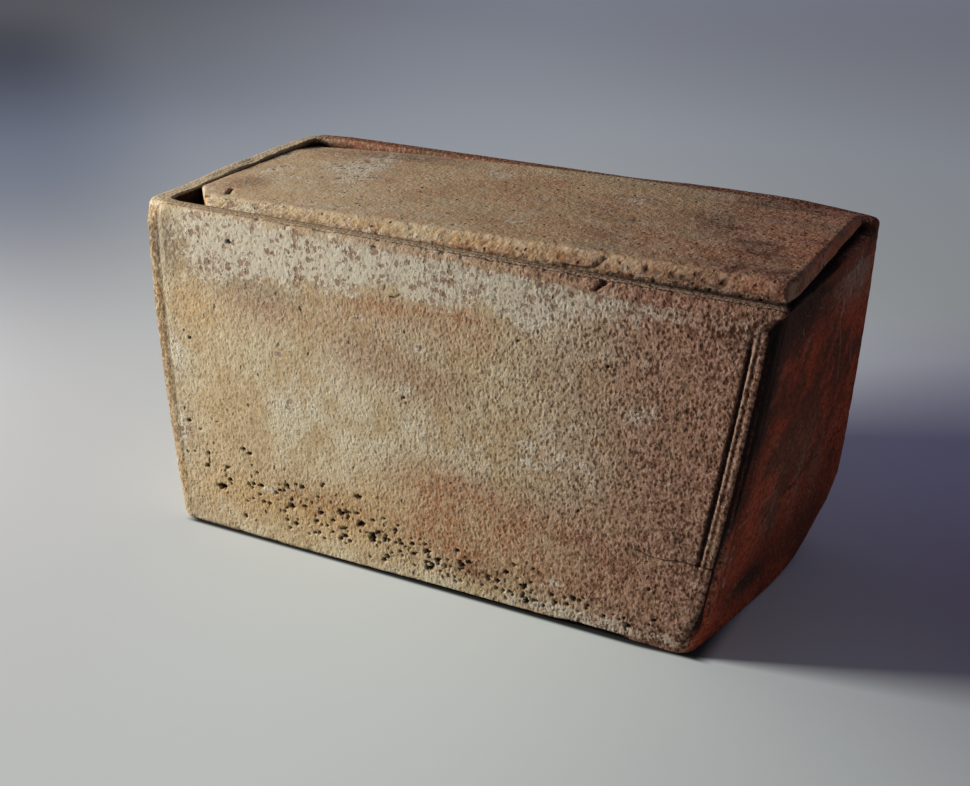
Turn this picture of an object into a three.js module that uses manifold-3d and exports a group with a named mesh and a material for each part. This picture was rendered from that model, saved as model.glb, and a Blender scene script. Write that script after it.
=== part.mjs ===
// A limestone ossuary: a chest carved from one block, and a stone lid that slides in between three rims.
// Millimetres, +Z up. The origin is the middle of the base outline; +X points to the seat's open end.

import * as THREE from "three";
import { mergeVertices } from "three/addons/utils/BufferGeometryUtils.js";
import Module from "manifold-3d";

// Chest, outside
const length = 644;
const width = 292;
const height = 343;
const leftTaper = 17;
const frontTaper = 3;
const backTaper = 12;
const rightTaperAtFront = 52;
const rightTaperAtBack = 16;
const leftSwell = 6.5;
const rightSwell = 3;
const frontRightSetback = 2;
const rimLip = 8.5;
const rimLipHeight = 20;
const rimRound = 5;
const backRimRise = 5.5;
const backRimHump = 2.5;
const leftRimRise = 2.5;

// Corner radii in plan, from the front left one against the clock, at the rim and at the base
const frontLeftRadius = 14;
const frontRightRadius = 5;
const frontRightFootRadius = 18;
const frontRightFootHeight = 45;
const backRightRadius = 6;
const backLeftRadius = 24;
const brokenCornerRadius = 78;
const brokenCornerHeight = 85;

// The worn lower edge: bowed along the front, undercut under its right half, rounded elsewhere
const footWear = 4;
const footInset = 5;
const frontFootLow = 2.5;
const frontFootRise = 7.5;
const frontFootMiddle = -42;
const undercutInset = 14;
const brokenFootRise = 26;
const roundedKneeShare = 0.3;
const undercutKneeShare = 0.85;

// Rims, seat and hollow
const frontRimAtLeft = 17;
const frontRimAtRight = 18.5;
const leftRim = 20;
const backRim = 17;
const ledge = 8;
const endWall = 30;
const seatDepth = 26;
const seatTilt = THREE.MathUtils.degToRad(1.5);
const seatCorner = 16;
const floorThickness = 32;
const hollowCorner = 26;
const floorRound = 20;

// Frame lines: grooves beside the upright edges, measured from where each rounded edge ends
const frameTopMargin = 16;
const frameFootMargin = 24;
const frameFade = 14;
const beadFoot = 80;
const beadFade = 25;
const leftLine = { offset: 4, width: 2.6, depth: 1.6 };
const beadInner = { offset: 9, width: 5, depth: 2.2 };
const beadOuter = { offset: 2.6, width: 2.8, depth: 1.6 };
const channel = { offset: 7.5, width: 14.6, depth: 5 };
const endLine = { offset: 29.5, width: 3, depth: 1.5 };

// Chips in the front rim and the end wall
const notchFromMiddle = 164;
const notchLength = 13;
const notchDepth = 7;
const notchClear = 1.7;
const dipFromMiddle = -50;
const dipLength = 150;
const dipDepth = 5;

// Lid
const lidLength = 618;
const lidGap = 0.3;
const lidEndGap = 1.5;
const lidFrontPlay = 2;
const lidBackPlay = 4;
const lidBackTaper = 12;
const lidThickness = 25;
const lidRise = 4;
const lidSkew = 4;
const bevelWidthLeft = 28;
const bevelWidthRight = 6;
const frontEdgeLeft = 19;
const frontEdgeRight = 14;
const backEdge = 20;
const backEdgeRise = 8;
const backSlope = 34;
const lidArris = 2;
const lidEndWear = 3;
const lidEndDrop = 2;
const brokenFromLeft = 48;
const brokenFromFront = 54;
const breakBow = 5;
const backCornerCut = 14;
const backCornerBow = 6;

// Mesh fineness and the overrun of every cut
const overrun = 12;
const cornerSteps = 6;
const longSteps = 20;
const shortSteps = 10;
const wallSteps = 12;
const roundSteps = 4;
const lipSteps = 2;
const grooveSteps = 4;
const lidSteps = 24;
const crownSteps = 6;

const wasm = await Module();
wasm.setup();
const { lerp, smoothstep } = THREE.MathUtils;

// Solids: a closed geometry as a solid for cutting, and the cut solid as a geometry again
function solid(geometry) {
  const bare = geometry.clone();
  bare.deleteAttribute("normal");
  bare.deleteAttribute("uv");
  const merged = mergeVertices(bare);
  return new wasm.Manifold(
    new wasm.Mesh({
      numProp: 3,
      vertProperties: merged.attributes.position.array,
      triVerts: new Uint32Array(merged.index.array),
    }),
  );
}

function cut(body, cutters) {
  const left = cutters.reduce((rest, cutter) => rest.subtract(solid(cutter)), solid(body));
  const { numProp, vertProperties, triVerts } = left.getMesh();
  const geometry = new THREE.BufferGeometry();
  geometry.setAttribute("position", new THREE.BufferAttribute(vertProperties, numProp));
  geometry.setIndex(new THREE.BufferAttribute(triVerts, 1));
  const faceted = geometry.toNonIndexed();
  faceted.computeVertexNormals();
  return faceted;
}

// A skin through rings of equally many points, each ring against the clock seen from the last one's side
function loft(rings) {
  const count = rings[0].length;
  const middle = (ring) =>
    ring.reduce((sum, point) => sum.add(point), new THREE.Vector3()).divideScalar(count);
  const points = [...rings.flat(), middle(rings[0]), middle(rings.at(-1))];
  const first = rings.length * count;
  const last = first + 1;
  const faces = [];
  for (let k = 0; k < count; k++) {
    const next = (k + 1) % count;
    for (let i = 0; i < rings.length - 1; i++) {
      const low = i * count;
      const high = low + count;
      faces.push(low + k, low + next, high + next, low + k, high + next, high + k);
    }
    const top = (rings.length - 1) * count;
    faces.push(first, next, k, last, top + k, top + next);
  }
  const geometry = new THREE.BufferGeometry().setFromPoints(points);
  geometry.setIndex(faces);
  return geometry;
}

const frontWall = frontRimAtRight + ledge;

// The chest's four outside corners at a height, from the front left one against the clock
function cornersAt(z) {
  const down = 1 - z / height;
  const swell = 4 * down * (1 - down);
  const lip = rimLip * (1 - smoothstep(z, height - rimLipHeight, height - rimRound));
  const left = -length / 2 + leftTaper * down - leftSwell * swell;
  const front = -width / 2 + frontTaper * down;
  const back = width / 2 - backTaper * down;
  const rightAtFront =
    length / 2 - frontRightSetback - lip - rightTaperAtFront * down + rightSwell * swell;
  const rightAtBack = length / 2 - rightTaperAtBack * down + rightSwell * swell;
  return [
    new THREE.Vector2(left, front),
    new THREE.Vector2(rightAtFront, front),
    new THREE.Vector2(rightAtBack, back),
    new THREE.Vector2(left, back),
  ];
}

// Corners moved in from the front, right, back and left sides
function inset(corners, front, right, back, left) {
  const shifts = [
    new THREE.Vector2(left, front),
    new THREE.Vector2(-right, front),
    new THREE.Vector2(-right, -back),
    new THREE.Vector2(left, -back),
  ];
  return corners.map((corner, i) => corner.clone().add(shifts[i]));
}

// Stations across a groove, as distances along the side and depths into it
function grooveStations(centre, groove, depthShare) {
  return Array.from({ length: grooveSteps + 1 }, (_, k) => {
    const across = (2 * k) / grooveSteps - 1;
    const depth = groove.depth * (1 - across ** 2) * depthShare;
    return [centre + (across * groove.width) / 2, depth];
  });
}

// Points along a side, with its grooves at fixed distances from its ends and even steps between them
function side(start, end, steps, nearStart, nearEnd, startShare, endShare) {
  const total = start.distanceTo(end);
  const along = end.clone().sub(start).normalize();
  const inward = new THREE.Vector2(-along.y, along.x);
  const first = nearStart.flatMap((g) => grooveStations(g.offset, g, startShare));
  const last = nearEnd.flatMap((g) => grooveStations(total - g.offset, g, endShare));
  const from = first.length ? first.at(-1)[0] : 0;
  const to = last.length ? last[0][0] : total;
  const plain = Array.from({ length: steps - 1 }, (_, k) => [lerp(from, to, (k + 1) / steps), 0]);
  return [...first, ...plain, ...last].map(([distance, depth]) =>
    start.clone().addScaledVector(along, distance).addScaledVector(inward, depth),
  );
}

// A rounded outline through four corners, at a height that may vary from point to point
function ring(corners, radii, heightAt, grooved = false, lineShare = 0, beadShare = 0) {
  const towards = (from, to, distance) =>
    to.clone().sub(from).setLength(distance).add(from);
  const nearStart = grooved ? [[leftLine], [channel, endLine], [], []] : [[], [], [], []];
  const nearEnd = grooved ? [[beadInner, beadOuter], [], [], []] : [[], [], [], []];
  const outline = corners.flatMap((corner, i) => {
    const before = corners[(i + 3) % 4];
    const after = corners[(i + 1) % 4];
    const start = towards(corner, before, radii[i]);
    const end = towards(corner, after, radii[i]);
    const bend = new THREE.QuadraticBezierCurve(start, corner, end).getPoints(cornerSteps);
    const sideEnd = towards(after, corner, radii[(i + 1) % 4]);
    const steps = i % 2 ? shortSteps : longSteps;
    const lines = side(end, sideEnd, steps, nearStart[i], nearEnd[i], lineShare, beadShare);
    return [...bend, ...lines];
  });
  return outline.map((p) => new THREE.Vector3(p.x, p.y, heightAt(p)));
}

// How deep the frame lines are at a height: they fade in above a foot and out below the rim
function lineDepth(z, foot, fade) {
  const top = height - frameTopMargin;
  return smoothstep(z, foot, foot + fade) * (1 - smoothstep(z, top - frameFade, top));
}

function wallRing(z, heightAt) {
  const lineShare = lineDepth(z, frameFootMargin, frameFade);
  const beadShare = lineDepth(z, beadFoot, beadFade);
  return ring(cornersAt(z), radiiAt(z), heightAt, true, lineShare, beadShare);
}

// A ring drawn in, in its own plane, by a distance that may vary from point to point
function drawnIn(points, distanceAt) {
  return points.map((point, k) => {
    const before = points.at(k - 1);
    const after = points[(k + 1) % points.length];
    const inward = new THREE.Vector3(before.y - after.y, after.x - before.x, 0).normalize();
    return point.clone().addScaledVector(inward, distanceAt(point));
  });
}

// Corner radii at a height: towards the base the back right corner is broken, the front right one worn
function radiiAt(z) {
  const broken = 1 - smoothstep(z, 0, brokenCornerHeight);
  const worn = 1 - smoothstep(z, 0, frontRightFootHeight);
  return [
    frontLeftRadius,
    lerp(frontRightRadius, frontRightFootRadius, worn),
    lerp(backRightRadius, brokenCornerRadius, broken),
    backLeftRadius,
  ];
}

// How far a point belongs to the front, to the broken corner and to the undercut stretch, from 0 to 1
const frontShare = (p) => smoothstep(-p.y, width / 3, width / 2 - frontTaper);
const brokenShare = (p) => smoothstep(p.y, 0, width / 2) * smoothstep(p.x, length / 4, length / 2);
const undercutShare = (p) =>
  frontShare(p) * smoothstep(p.x, -length / 4, 0) * (1 - smoothstep(p.x, length / 4, length / 3));

// How high the worn lower edge reaches
function footHeight(p) {
  const along = (p.x - frontFootMiddle) / (length / 2);
  const front = frontFootLow + frontFootRise * along ** 2;
  return lerp(footWear, front, frontShare(p)) + brokenFootRise * brokenShare(p);
}

// How far the base lies inside the walls
function footDraw(p) {
  return lerp(footInset, undercutInset, undercutShare(p)) + brokenFootRise * brokenShare(p);
}

// The back rim stands above the front one, most of all at a hump, and the left one bows up
function rimHeight(point) {
  const along = (2 * point.x) / length;
  const back = smoothstep(point.y, 0, width / 2);
  const hump = smoothstep(along, 0.2, 0.5) * (1 - smoothstep(along, 0.7, 0.9));
  const left = 1 - smoothstep(point.x, -length / 2 + leftRim, -length / 2 + 2 * leftRim);
  const bow = smoothstep(point.y, -width / 3, 0) * (1 - smoothstep(point.y, width / 6, width / 2));
  return (
    height +
    back * (backRimRise * (1 - along ** 12) + backRimHump * hump) +
    left * bow * leftRimRise
  );
}

function chestBlock() {
  const kneeShare = (p) => lerp(roundedKneeShare, undercutKneeShare, undercutShare(p));
  const base = wallRing(0, () => 0);
  const knee = wallRing(0, (p) => footHeight(p) * kneeShare(p));
  const rings = [
    drawnIn(base, footDraw),
    drawnIn(knee, (p) => footDraw(p) * kneeShare(p)),
    wallRing(footWear, footHeight),
  ];
  const wallFoot = footWear + brokenFootRise;
  const lipFoot = height - rimLipHeight;
  for (let i = 1; i <= wallSteps; i++) {
    const z = lerp(wallFoot, lipFoot, i / wallSteps);
    rings.push(wallRing(z, () => z));
  }
  for (let i = 1; i <= lipSteps; i++) {
    const z = lerp(lipFoot, height - rimRound, i / lipSteps);
    rings.push(wallRing(z, (p) => lerp(z, rimHeight(p) - rimRound, i / lipSteps)));
  }
  for (let i = 1; i <= roundSteps; i++) {
    const turn = (i / roundSteps) * (Math.PI / 2);
    const shift = rimRound * (1 - Math.cos(turn));
    const drop = rimRound * (1 - Math.sin(turn));
    const outline = inset(cornersAt(height), shift, shift, shift, shift);
    rings.push(ring(outline, radiiAt(height), (p) => rimHeight(p) - drop, true));
  }
  const inner = inset(cornersAt(height), frontWall, endWall, backRim + ledge, leftRim + ledge);
  rings.push(ring(inner, radiiAt(height), rimHeight, true));
  return loft(rings);
}

// Everything in the seat's own frame is tilted up towards the open end and starts inside the left rim
const seatOrigin = new THREE.Vector3(-length / 2 + leftRim, 0, height - seatDepth);

function seatCutter() {
  const frontAtLeft = -width / 2 + frontRimAtLeft;
  const frontAtRight = -width / 2 + frontRimAtRight;
  const back = width / 2 - backRim;
  const far = length + overrun;
  const plan = new THREE.Shape();
  plan.moveTo(seatCorner, frontAtLeft);
  plan.lineTo(far, frontAtRight);
  plan.lineTo(far, back);
  plan.lineTo(seatCorner, back);
  plan.quadraticCurveTo(0, back, 0, back - seatCorner);
  plan.lineTo(0, frontAtLeft + seatCorner);
  plan.quadraticCurveTo(0, frontAtLeft, seatCorner, frontAtLeft);
  const geometry = new THREE.ExtrudeGeometry(plan, {
    depth: seatDepth + overrun,
    bevelEnabled: false,
    curveSegments: cornerSteps,
  });
  geometry.rotateY(-seatTilt);
  return geometry.translate(seatOrigin.x, seatOrigin.y, seatOrigin.z);
}

function hollowCutter() {
  const outlineAt = (z, more) =>
    inset(
      cornersAt(z),
      frontWall + more,
      endWall + more,
      backRim + ledge + more,
      leftRim + ledge + more,
    );
  const radii = Array(4).fill(hollowCorner);
  const rings = [];
  for (let i = 0; i <= roundSteps; i++) {
    const turn = (i / roundSteps) * (Math.PI / 2);
    const z = floorThickness + floorRound * (1 - Math.cos(turn));
    const more = floorRound * (1 - Math.sin(turn));
    rings.push(ring(outlineAt(z, more), radii, () => z));
  }
  const top = height - rimLipHeight;
  for (let i = 1; i <= roundSteps; i++) {
    const z = lerp(floorThickness + floorRound, top, i / roundSteps);
    rings.push(ring(outlineAt(z, 0), radii, () => z));
  }
  rings.push(ring(outlineAt(top, 0), radii, () => height + overrun));
  return loft(rings);
}

function rimNotch() {
  const geometry = new THREE.SphereGeometry(1, 2 * cornerSteps, cornerSteps);
  geometry.scale(notchLength / 2, notchDepth, notchDepth);
  return geometry.translate(notchFromMiddle, -width / 2 - notchClear, height + notchClear);
}

// The end wall's top outer edge is worn down towards the front
function endDip() {
  const geometry = new THREE.SphereGeometry(1, 4 * cornerSteps, 2 * cornerSteps);
  geometry.scale(endWall / 2, dipLength / 2, 2 * dipDepth);
  const rise = (length - leftRim) * Math.tan(seatTilt) - seatDepth;
  return geometry.translate(length / 2, dipFromMiddle, height + rise + dipDepth);
}

function chestGeometry() {
  return cut(chestBlock(), [seatCutter(), hollowCutter(), rimNotch(), endDip()]);
}

// The lid's cross-section at a share of its length, from the lower front edge round by the back
function lidSection(share, endInset, endDrop) {
  const rim = lerp(frontRimAtLeft, frontRimAtRight, share);
  const frontY = -width / 2 + rim + lidFrontPlay + endInset;
  const backY = width / 2 - backRim - lidBackPlay - lidBackTaper * share - endInset;
  const rise = 4 * share * (1 - share);
  const crown = lidThickness + lidRise * rise - endDrop;
  const frontTop = lerp(frontEdgeLeft, frontEdgeRight, share) + lidRise * rise - endDrop;
  const backTop = backEdge + backEdgeRise * rise - endDrop;
  const bevel = lerp(bevelWidthLeft, bevelWidthRight, share ** 0.6);
  const points = [
    [frontY, lidArris],
    [frontY + lidArris, 0],
    [backY - lidArris, 0],
    [backY, lidArris],
    [backY, backTop - lidArris],
    [backY - lidArris, backTop],
  ];
  const crownStart = backY - lidArris;
  const crownEnd = frontY + bevel;
  for (let i = 1; i <= crownSteps; i++) {
    const y = lerp(crownStart, crownEnd, i / crownSteps);
    const settle = smoothstep(crownStart - y, 0, backSlope);
    points.push([y, lerp(backTop, crown, settle)]);
  }
  points.push([frontY + lidArris, frontTop], [frontY, frontTop - lidArris]);
  return points;
}

// How far the lid's open end falls back towards its back edge
const skewAt = (share, y) => lidSkew * share * (0.5 + y / width);

function lidSlab() {
  const rings = [];
  const add = (share, endInset, endDrop) => {
    const section = lidSection(share, endInset, endDrop);
    rings.push(
      section.map(([y, z]) => {
        return new THREE.Vector3(lidLength * share - skewAt(share, y), y, z);
      }),
    );
  };
  const wornShare = lidEndWear / lidLength;
  add(0, lidArris, 0);
  for (let i = 0; i <= lidSteps; i++) {
    add(lerp(wornShare, 1 - wornShare, i / lidSteps), 0, 0);
  }
  add(1, lidArris, lidEndDrop);
  return loft(rings);
}

// A corner taken off the lid along a bowed face; outward points over the corner
function cornerCutter(corner, outward, cutX, cutY, bow) {
  const at = (x, y) => corner.clone().add(new THREE.Vector2(x, y).multiply(outward));
  const tip = at(overrun, overrun);
  const start = at(-cutX - overrun, overrun);
  const end = at(overrun, -cutY - overrun);
  const middle = start.clone().add(end).multiplyScalar(0.5).addScaledVector(outward, bow);
  const plan = new THREE.Shape();
  plan.moveTo(tip.x, tip.y);
  plan.lineTo(start.x, start.y);
  plan.quadraticCurveTo(middle.x, middle.y, end.x, end.y);
  const geometry = new THREE.ExtrudeGeometry(plan, {
    depth: lidThickness + lidRise + 2 * overrun,
    bevelEnabled: false,
    curveSegments: cornerSteps,
  });
  return geometry.translate(0, 0, -overrun);
}

// The missing front left corner, and the two rounded back corners
function brokenCorner() {
  const corner = new THREE.Vector2(0, -width / 2 + frontRimAtLeft + lidFrontPlay);
  return cornerCutter(corner, new THREE.Vector2(-1, -1), brokenFromLeft, brokenFromFront, breakBow);
}

function backCorner(share, outwardX) {
  const y = width / 2 - backRim - lidBackPlay - lidBackTaper * share;
  const corner = new THREE.Vector2(lidLength * share - skewAt(share, y), y);
  return cornerCutter(corner, new THREE.Vector2(outwardX, 1), backCornerCut, backCornerCut, backCornerBow);
}

function lidGeometry() {
  return cut(lidSlab(), [brokenCorner(), backCorner(0, -1), backCorner(1, 1)]);
}

// The assembly
const limestone = new THREE.MeshStandardMaterial({
  color: new THREE.Color().setRGB(0.6, 0.51, 0.4, THREE.SRGBColorSpace),
  roughness: 0.92,
  metalness: 0,
});
const lidStone = new THREE.MeshStandardMaterial({
  color: new THREE.Color().setRGB(0.58, 0.49, 0.385, THREE.SRGBColorSpace),
  roughness: 0.88,
  metalness: 0,
});

const chest = new THREE.Mesh(chestGeometry(), limestone);
chest.name = "chest";

const lid = new THREE.Mesh(lidGeometry(), lidStone);
lid.name = "lid";
lid.position.set(lidEndGap, 0, lidGap);

const seat = new THREE.Group();
seat.position.copy(seatOrigin);
seat.rotation.y = -seatTilt;
seat.add(lid);

const group = new THREE.Group();
group.add(chest, seat);

export default group;
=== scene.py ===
# A limestone ossuary: a carved chest and its sliding lid, in pecked, pitted and stained stone.
import math

import bmesh
import bpy
import numpy as np
from mathutils import Matrix, Vector


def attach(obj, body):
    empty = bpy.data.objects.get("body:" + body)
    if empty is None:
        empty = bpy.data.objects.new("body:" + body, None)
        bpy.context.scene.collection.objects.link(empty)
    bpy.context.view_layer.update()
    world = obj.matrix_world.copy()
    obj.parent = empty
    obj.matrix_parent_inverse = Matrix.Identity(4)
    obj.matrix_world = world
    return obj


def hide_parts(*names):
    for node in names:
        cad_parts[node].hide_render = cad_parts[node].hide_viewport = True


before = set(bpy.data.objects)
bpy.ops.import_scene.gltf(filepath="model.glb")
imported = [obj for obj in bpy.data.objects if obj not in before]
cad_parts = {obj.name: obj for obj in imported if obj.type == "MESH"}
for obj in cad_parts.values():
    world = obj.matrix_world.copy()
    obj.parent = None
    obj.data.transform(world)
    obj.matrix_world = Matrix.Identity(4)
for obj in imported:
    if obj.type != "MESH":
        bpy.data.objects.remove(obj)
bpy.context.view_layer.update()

millimetre = 0.001

cameraSettings = {
    "place": (0.6253, -1.2475, 0.7651),
    "azimuth": 27.42,
    "elevation": 23.77,
    "roll": 0.48,
    "lens": 56.41,
    "sensor": 36,
}


def makeCamera(settings):
    azimuth, elevation, roll = (
        math.radians(settings[name]) for name in ("azimuth", "elevation", "roll")
    )
    back = Vector(
        (
            math.sin(azimuth) * math.cos(elevation),
            -math.cos(azimuth) * math.cos(elevation),
            math.sin(elevation),
        )
    )
    level = Vector((0, 0, 1)).cross(back).normalized()
    rise = back.cross(level)
    right = level * math.cos(roll) + rise * math.sin(roll)
    up = rise * math.cos(roll) - level * math.sin(roll)
    camera = bpy.data.objects.new("camera", bpy.data.cameras.new("camera"))
    camera.data.lens = settings["lens"]
    camera.data.sensor_width = settings["sensor"]
    turn = Matrix((right, up, back)).transposed().to_4x4()
    camera.matrix_world = Matrix.Translation(settings["place"]) @ turn
    bpy.context.scene.collection.objects.link(camera)
    bpy.context.scene.camera = camera


makeCamera(cameraSettings)
print("camera set")


class Signal:
    # a node's output in a sum: 1 - mask adds the Math node that it needs
    def __init__(self, graph, socket):
        self.graph = graph
        self.socket = socket

    def combine(self, operation, first, second):
        return self.graph.add("ShaderNodeMath", {"operation": operation}, {0: first, 1: second})

    def __add__(self, other):
        return self.combine("ADD", self, other)

    def __sub__(self, other):
        return self.combine("SUBTRACT", self, other)

    def __rsub__(self, other):
        return self.combine("SUBTRACT", other, self)

    def __mul__(self, other):
        return self.combine("MULTIPLY", self, other)

    __radd__ = __add__
    __rmul__ = __mul__


class Graph:
    def __init__(self, owner):
        owner.use_nodes = True
        self.tree = owner.node_tree
        self.tree.nodes.clear()

    # every node but the sums: its type, its settings, the values or links of its sockets, and the
    # output wanted, where None stands for all of them
    def add(self, kind, settings=None, inputs=None, output=0):
        node = self.tree.nodes.new(kind)
        for name, value in (settings or {}).items():
            setattr(node, name, value)
        for name, value in (inputs or {}).items():
            if isinstance(value, Signal):
                self.tree.links.new(value.socket, node.inputs[name])
            else:
                node.inputs[name].default_value = value
        signals = [Signal(self, socket) for socket in node.outputs]
        if output is None:
            return signals
        if signals:
            return Signal(self, node.outputs[output])

    def noise(self, place, scale, detail=2.0, roughness=0.5, distortion=0.0):
        sockets = {
            "Vector": place,
            "Scale": scale,
            "Detail": detail,
            "Roughness": roughness,
            "Distortion": distortion,
        }
        return self.add("ShaderNodeTexNoise", {}, sockets, "Fac")

    # from 0 at low to 1 at high, eased at both ends
    def step(self, value, low, high):
        sockets = {"Value": value, "From Min": low, "From Max": high}
        return self.add("ShaderNodeMapRange", {"interpolation_type": "SMOOTHSTEP"}, sockets)

    def mix(self, share, first, second):
        settings = {"data_type": "RGBA", "clamp_factor": True}
        return self.add("ShaderNodeMix", settings, {0: share, 6: first, 7: second}, 2)

    def scaled(self, place, factors):
        return self.add("ShaderNodeVectorMath", {"operation": "MULTIPLY"}, {0: place, 1: factors})

    # scattered cells: the distance to each centre and its random number
    def cells(self, place, scale):
        apart, shade = self.add("ShaderNodeTexVoronoi", {}, {"Vector": place, "Scale": scale}, None)[:2]
        return apart, self.add("ShaderNodeSeparateColor", {}, {0: shade}, 0)

    def attribute(self, name):
        return self.add("ShaderNodeAttribute", {"attribute_name": name}, {}, "Fac")


# an sRGB colour from 0 to 255, as the linear colour that nodes take
def paint(red, green, blue):
    shares = (red / 255, green / 255, blue / 255)
    linear = [c / 12.92 if c <= 0.04045 else ((c + 0.055) / 1.055) ** 2.4 for c in shares]
    return (*linear, 1)


def scatter(cells, seed):
    # a steady random number from 0 to 1 for each whole-numbered cell
    mixed = cells[..., 0] * 73856093 ^ cells[..., 1] * 19349663 ^ cells[..., 2] * 83492791
    mixed = (mixed ^ seed * 1000003) & 0xFFFFFFFF
    for shift, factor in ((16, 0x45D9F3B), (15, 0x119DE1F3)):
        mixed = ((mixed ^ mixed >> shift) * factor) & 0xFFFFFFFF
    return ((mixed ^ mixed >> 16) & 0xFFFFFF) / 0xFFFFFF


def ease(value, low, high):
    share = np.clip((value - low) / (high - low), 0, 1)
    return share * share * (3 - 2 * share)


def swell(points, size, seed, layers=1):
    # soft lumps of a size, which may differ by axis, from -1 to 1, each layer half as large as the last
    total = np.zeros(len(points))
    reach = 0
    for layer in range(layers):
        spots = points / (np.asarray(size) / 2**layer) + 17.3 * layer
        cell = np.floor(spots).astype(np.int64)
        share = spots - cell
        share = share * share * (3 - 2 * share)
        value = np.zeros(len(points))
        for corner in np.ndindex(2, 2, 2):
            weight = np.prod(np.where(corner, share, 1 - share), axis=1)
            value += weight * scatter(cell + np.array(corner), seed + layer)
        total += (2 * value - 1) / 2**layer
        reach += 1 / 2**layer
    return total / reach


def dimples(points, size, seed):
    # the distance to the nearest of scattered centres, in sizes, and that centre's random number
    spots = points / np.asarray(size)
    cell = np.floor(spots).astype(np.int64)
    nearest = np.full(len(points), 9.0)
    chance = np.zeros(len(points))
    for shift in np.ndindex(3, 3, 3):
        other = cell + np.array(shift) - 1
        centre = np.stack([scatter(other, seed + axis) for axis in range(3)], axis=1)
        distance = np.linalg.norm(other + centre - spots, axis=1)
        closer = distance < nearest
        nearest[closer] = distance[closer]
        chance[closer] = scatter(other[closer], seed + 3)
    return nearest, chance


def lineDistance(across, up, line):
    # the distance to a broken line through the points of line
    nearest = np.full(len(across), 1e6)
    for (x0, z0), (x1, z1) in zip(line, line[1:]):
        run, rise = x1 - x0, z1 - z0
        share = np.clip(((across - x0) * run + (up - z0) * rise) / (run**2 + rise**2), 0, 1)
        nearest = np.minimum(nearest, np.hypot(across - x0 - share * run, up - z0 - share * rise))
    return nearest


def readPoints(mesh):
    points = np.zeros(3 * len(mesh.vertices), np.float32)
    mesh.vertices.foreach_get("co", points)
    return points.reshape(-1, 3).astype(float) / millimetre


def readNormals(mesh):
    normals = np.zeros(3 * len(mesh.vertices), np.float32)
    mesh.vertex_normals.foreach_get("vector", normals)
    return normals.reshape(-1, 3).astype(float)


def writePoints(mesh, points):
    mesh.vertices.foreach_set("co", (points * millimetre).astype(np.float32).ravel())
    mesh.update()


def applyModifiers(piece):
    # gives the piece the mesh that its modifiers make
    depsgraph = bpy.context.evaluated_depsgraph_get()
    mesh = bpy.data.meshes.new_from_object(piece.evaluated_get(depsgraph))
    piece.modifiers.clear()
    piece.data = mesh


def remeshed(node, name, voxel):
    # an even, dense copy of a CAD node
    piece = bpy.data.objects.new(name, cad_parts[node].data.copy())
    bpy.context.scene.collection.objects.link(piece)
    remesh = piece.modifiers.new("remesh", "REMESH")
    remesh.mode = "VOXEL"
    remesh.voxel_size = voxel * millimetre
    applyModifiers(piece)
    return piece


def drawOnto(piece, node):
    # moves each vertex to the nearest point of the CAD node's faces
    wrap = piece.modifiers.new("wrap", "SHRINKWRAP")
    wrap.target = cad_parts[node]
    wrap.wrap_method = "NEAREST_SURFACEPOINT"
    applyModifiers(piece)


def refine(mesh, near):
    # splits the faces that touch a marked vertex
    work = bmesh.new()
    work.from_mesh(mesh)
    work.verts.ensure_lookup_table()
    faces = [face for index in np.flatnonzero(near) for face in work.verts[index].link_faces]
    edges = {edge for face in faces for edge in face.edges}
    bmesh.ops.subdivide_edges(work, edges=list(edges), cuts=1, use_grid_fill=True)
    bmesh.ops.triangulate(work, faces=[face for face in work.faces if len(face.verts) > 4])
    work.to_mesh(mesh)
    work.free()


def thinOut(piece, freedom, most):
    # merges vertices where freedom is above 0 until no more than most triangles are left
    triangles = sum(len(face.vertices) - 2 for face in piece.data.polygons)
    if triangles <= most:
        return
    group = piece.vertex_groups.new(name="freedom")
    levels = np.round(freedom * 10).astype(int)
    for level in range(1, 11):
        group.add(np.flatnonzero(levels == level).tolist(), level / 10, "REPLACE")
    thin = piece.modifiers.new("thin", "DECIMATE")
    thin.ratio = most / triangles
    thin.vertex_group = group.name
    thin.vertex_group_factor = 1
    applyModifiers(piece)
    piece.vertex_groups.clear()


def writeLayers(mesh, layers):
    # a number from 0 to 1 at each vertex, which the stone is coloured by
    for name, values in layers.items():
        layer = mesh.attributes.new(name, "FLOAT", "POINT")
        layer.data.foreach_set("value", np.clip(values, 0, 1).astype(np.float32))


def finishPiece(piece, node, material):
    mesh = piece.data
    mesh.materials.clear()
    mesh.materials.append(material)
    mesh.shade_smooth()
    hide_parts(node)
    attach(piece, node)
    print(piece.name, "has", sum(len(face.vertices) - 2 for face in mesh.polygons), "triangles")


stoneColours = {
    "field": paint(176, 152, 114),
    "pale": paint(200, 189, 160),
    # dirt, and painted shade in the hollows
    "dirtAndShade": paint(98, 66, 44),
    "crust": paint(200, 192, 172),
    "spot": paint(132, 98, 74),
    "blush": paint(180, 146, 124),
    "ochre": paint(190, 148, 84),
    "rust": paint(158, 104, 64),
    "mauve": paint(138, 94, 72),
    "soil": paint(208, 80, 42),
    "umber": paint(58, 32, 22),
    # painted shade, for pits, cracks, grooves, gaps and under the lid
    "paintedShadeBlack": paint(20, 11, 7),
}

stonePatterns = {
    "mottling": 24,  # lumps in a metre
    "patches": 8,
    "blotches": 110,
    "fine": 900,
    "holes": 150,
    "fineHeight": 0.00014,  # relief of the bump, in metres
    "blotchHeight": 0.0008,
    "spotDepth": 0.0005,
    "holeDepth": 0.0016,
    "lineDepth": 0.0008,
}


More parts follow.
